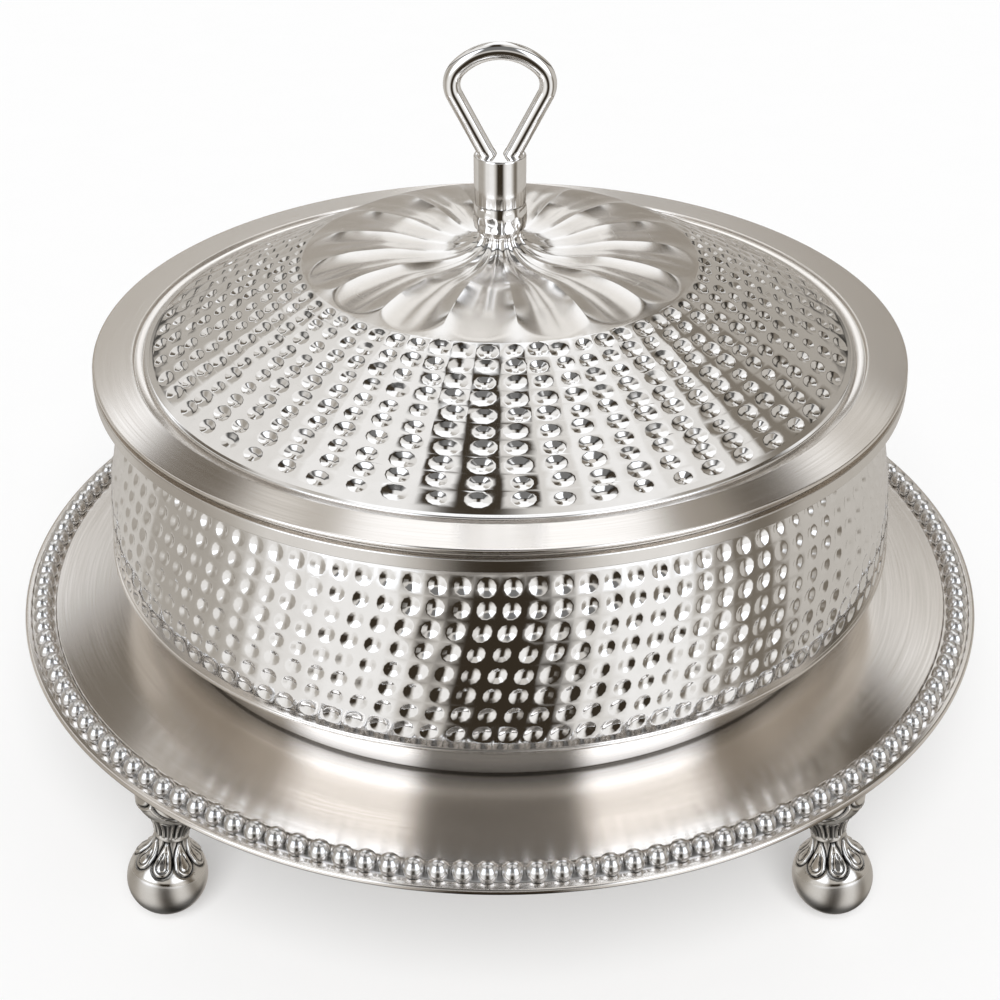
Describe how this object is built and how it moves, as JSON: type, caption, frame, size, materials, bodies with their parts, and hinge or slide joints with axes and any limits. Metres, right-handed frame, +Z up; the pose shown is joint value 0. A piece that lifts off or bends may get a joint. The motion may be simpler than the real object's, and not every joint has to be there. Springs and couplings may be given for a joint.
{
  "type": "covered serving dish",
  "caption": "Round covered serving dish: hammered bowl with a lift-off domed lid, fluted crown and loop handle, on a beaded tray with ball feet.",
  "frame": {"origin": "on the floor, under the middle of the tray, between the four feet", "axes": "+Z up along the axis of the dish and the lid, -Y towards the viewer of the picture, +X to the viewer's right, in the plane of the loop handle"},
  "size_m": [0.3799, 0.38, 0.2843],
  "materials": {
    "hammered_metal": "hammered and polished",
    "polished_metal": "mirror polished",
    "brushed_metal": "brushed in circles",
    "satin_metal": "satin with blackened grooves",
    "plain_metal": "plain drawn sheet and turned bar"
  },
  "bodies": {
    "stand": {"tray_plate": "brushed_metal", "bead_border": "polished_metal", "foot_front_left": "satin_metal", "foot_front_right": "satin_metal", "foot_back_left": "satin_metal", "foot_back_right": "satin_metal", "foot_studs": "plain_metal"},
    "dish": {"dish_jacket": "hammered_metal", "dish_base": "brushed_metal", "dish_bowl": "plain_metal"},
    "lid": {"lid_dome": "hammered_metal", "lid_brim": "brushed_metal", "lid_skirt": "plain_metal", "neck_ring": "polished_metal", "handle_socket": "polished_metal", "handle_loop": "polished_metal", "handle_screw": "plain_metal", "handle_washer": "plain_metal"}
  },
  "joints": [
    {"name": "dish_lift", "type": "slide", "parent": "stand", "child": "dish", "axis": [0, 0, 1], "range_m": [0, 0.12]},
    {"name": "lid_lift", "type": "slide", "parent": "dish", "child": "lid", "axis": [0, 0, 1], "range_m": [0, 0.15]}
  ]
}
